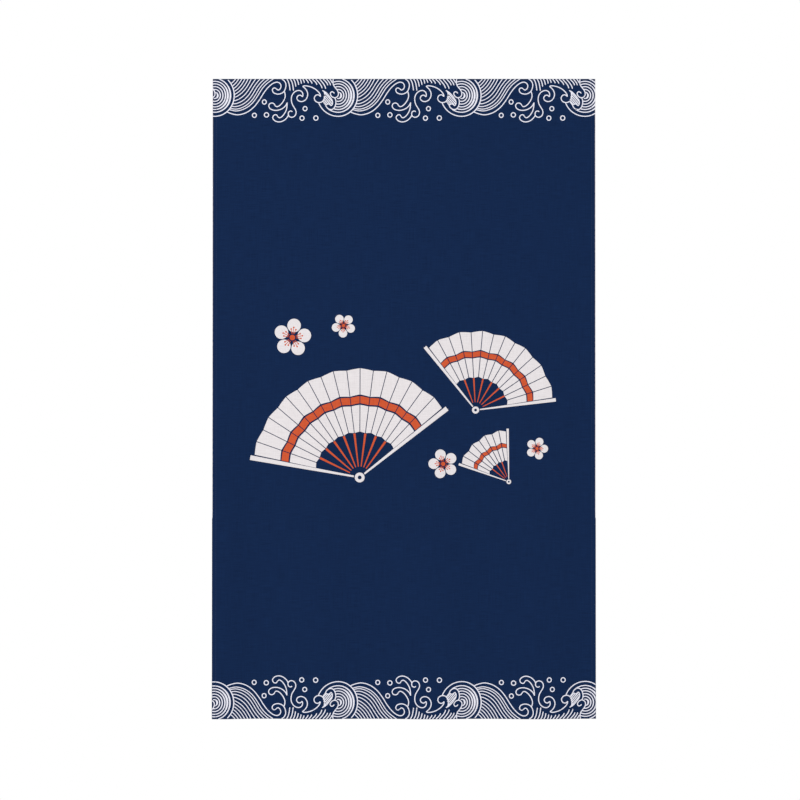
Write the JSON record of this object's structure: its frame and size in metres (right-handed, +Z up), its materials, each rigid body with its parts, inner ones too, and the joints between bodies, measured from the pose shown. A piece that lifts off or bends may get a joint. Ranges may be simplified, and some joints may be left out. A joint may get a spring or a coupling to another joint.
{
  "type": "noren curtain",
  "caption": "Flat-hanging door curtain of plain-woven cloth, with a deep flat top hem to hang it by, narrow side hems and a bottom hem.",
  "frame": {"origin": "middle of the curtain's top edge, in the middle of the top hem's thickness", "axes": "+Z up along the drop, the cloth hanging down from z 0; +X to the right as seen from the front; the printed front faces -Y"},
  "size_m": [0.9002, 0.0203, 1.5],
  "materials": {
    "navy_cloth": "plain weave, navy print ground, matte",
    "pale_print": "unprinted pale cloth showing as the lines of the print, matte",
    "orange_print": "orange print on plain weave, matte",
    "sewing_thread": "navy spun sewing thread"
  },
  "bodies": {
    "root": {"noren_panel": "navy_cloth"}
  },
  "joints": []
}
